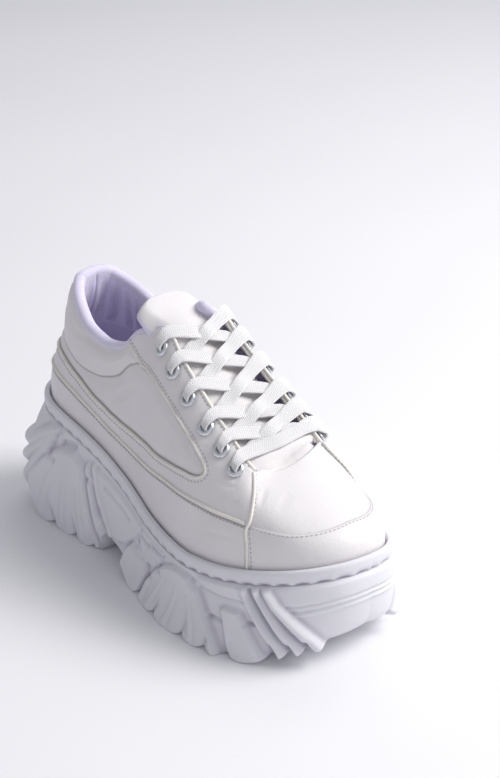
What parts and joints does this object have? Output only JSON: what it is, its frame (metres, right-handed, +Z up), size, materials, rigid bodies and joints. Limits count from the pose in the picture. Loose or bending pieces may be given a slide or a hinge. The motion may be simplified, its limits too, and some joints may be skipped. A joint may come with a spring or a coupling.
{
  "type": "platform sneaker",
  "caption": "Right low-top lace-up sneaker with a hollow leather upper, padded collar, tongue and laces on a thick sculpted platform sole with side ribs and tread lugs.",
  "frame": {"origin": "on the floor plane under the middle of the shoe's bounding box", "axes": "+X to the toe, +Y to the inner side of the foot, +Z up from the floor"},
  "size_m": [0.2908, 0.1296, 0.1619],
  "materials": {
    "rubber": "matte",
    "leather": "satin",
    "lining": "matte",
    "lace": "matte",
    "metal": "satin"
  },
  "bodies": {
    "root": {"outsole_platform": "rubber", "welt": "rubber", "insole": "lining", "upper": "leather", "tongue": "leather", "eyelet_outer_1": "metal", "eyelet_outer_2": "metal", "eyelet_outer_3": "metal", "eyelet_outer_4": "metal", "eyelet_outer_5": "metal", "eyelet_outer_6": "metal", "eyelet_inner_1": "metal", "eyelet_inner_2": "metal", "eyelet_inner_3": "metal", "eyelet_inner_4": "metal", "eyelet_inner_5": "metal", "eyelet_inner_6": "metal", "lace_crossing_1": "lace", "lace_crossing_2": "lace", "lace_crossing_3": "lace", "lace_crossing_4": "lace", "lace_crossing_5": "lace", "lace_bar": "lace"}
  },
  "joints": []
}
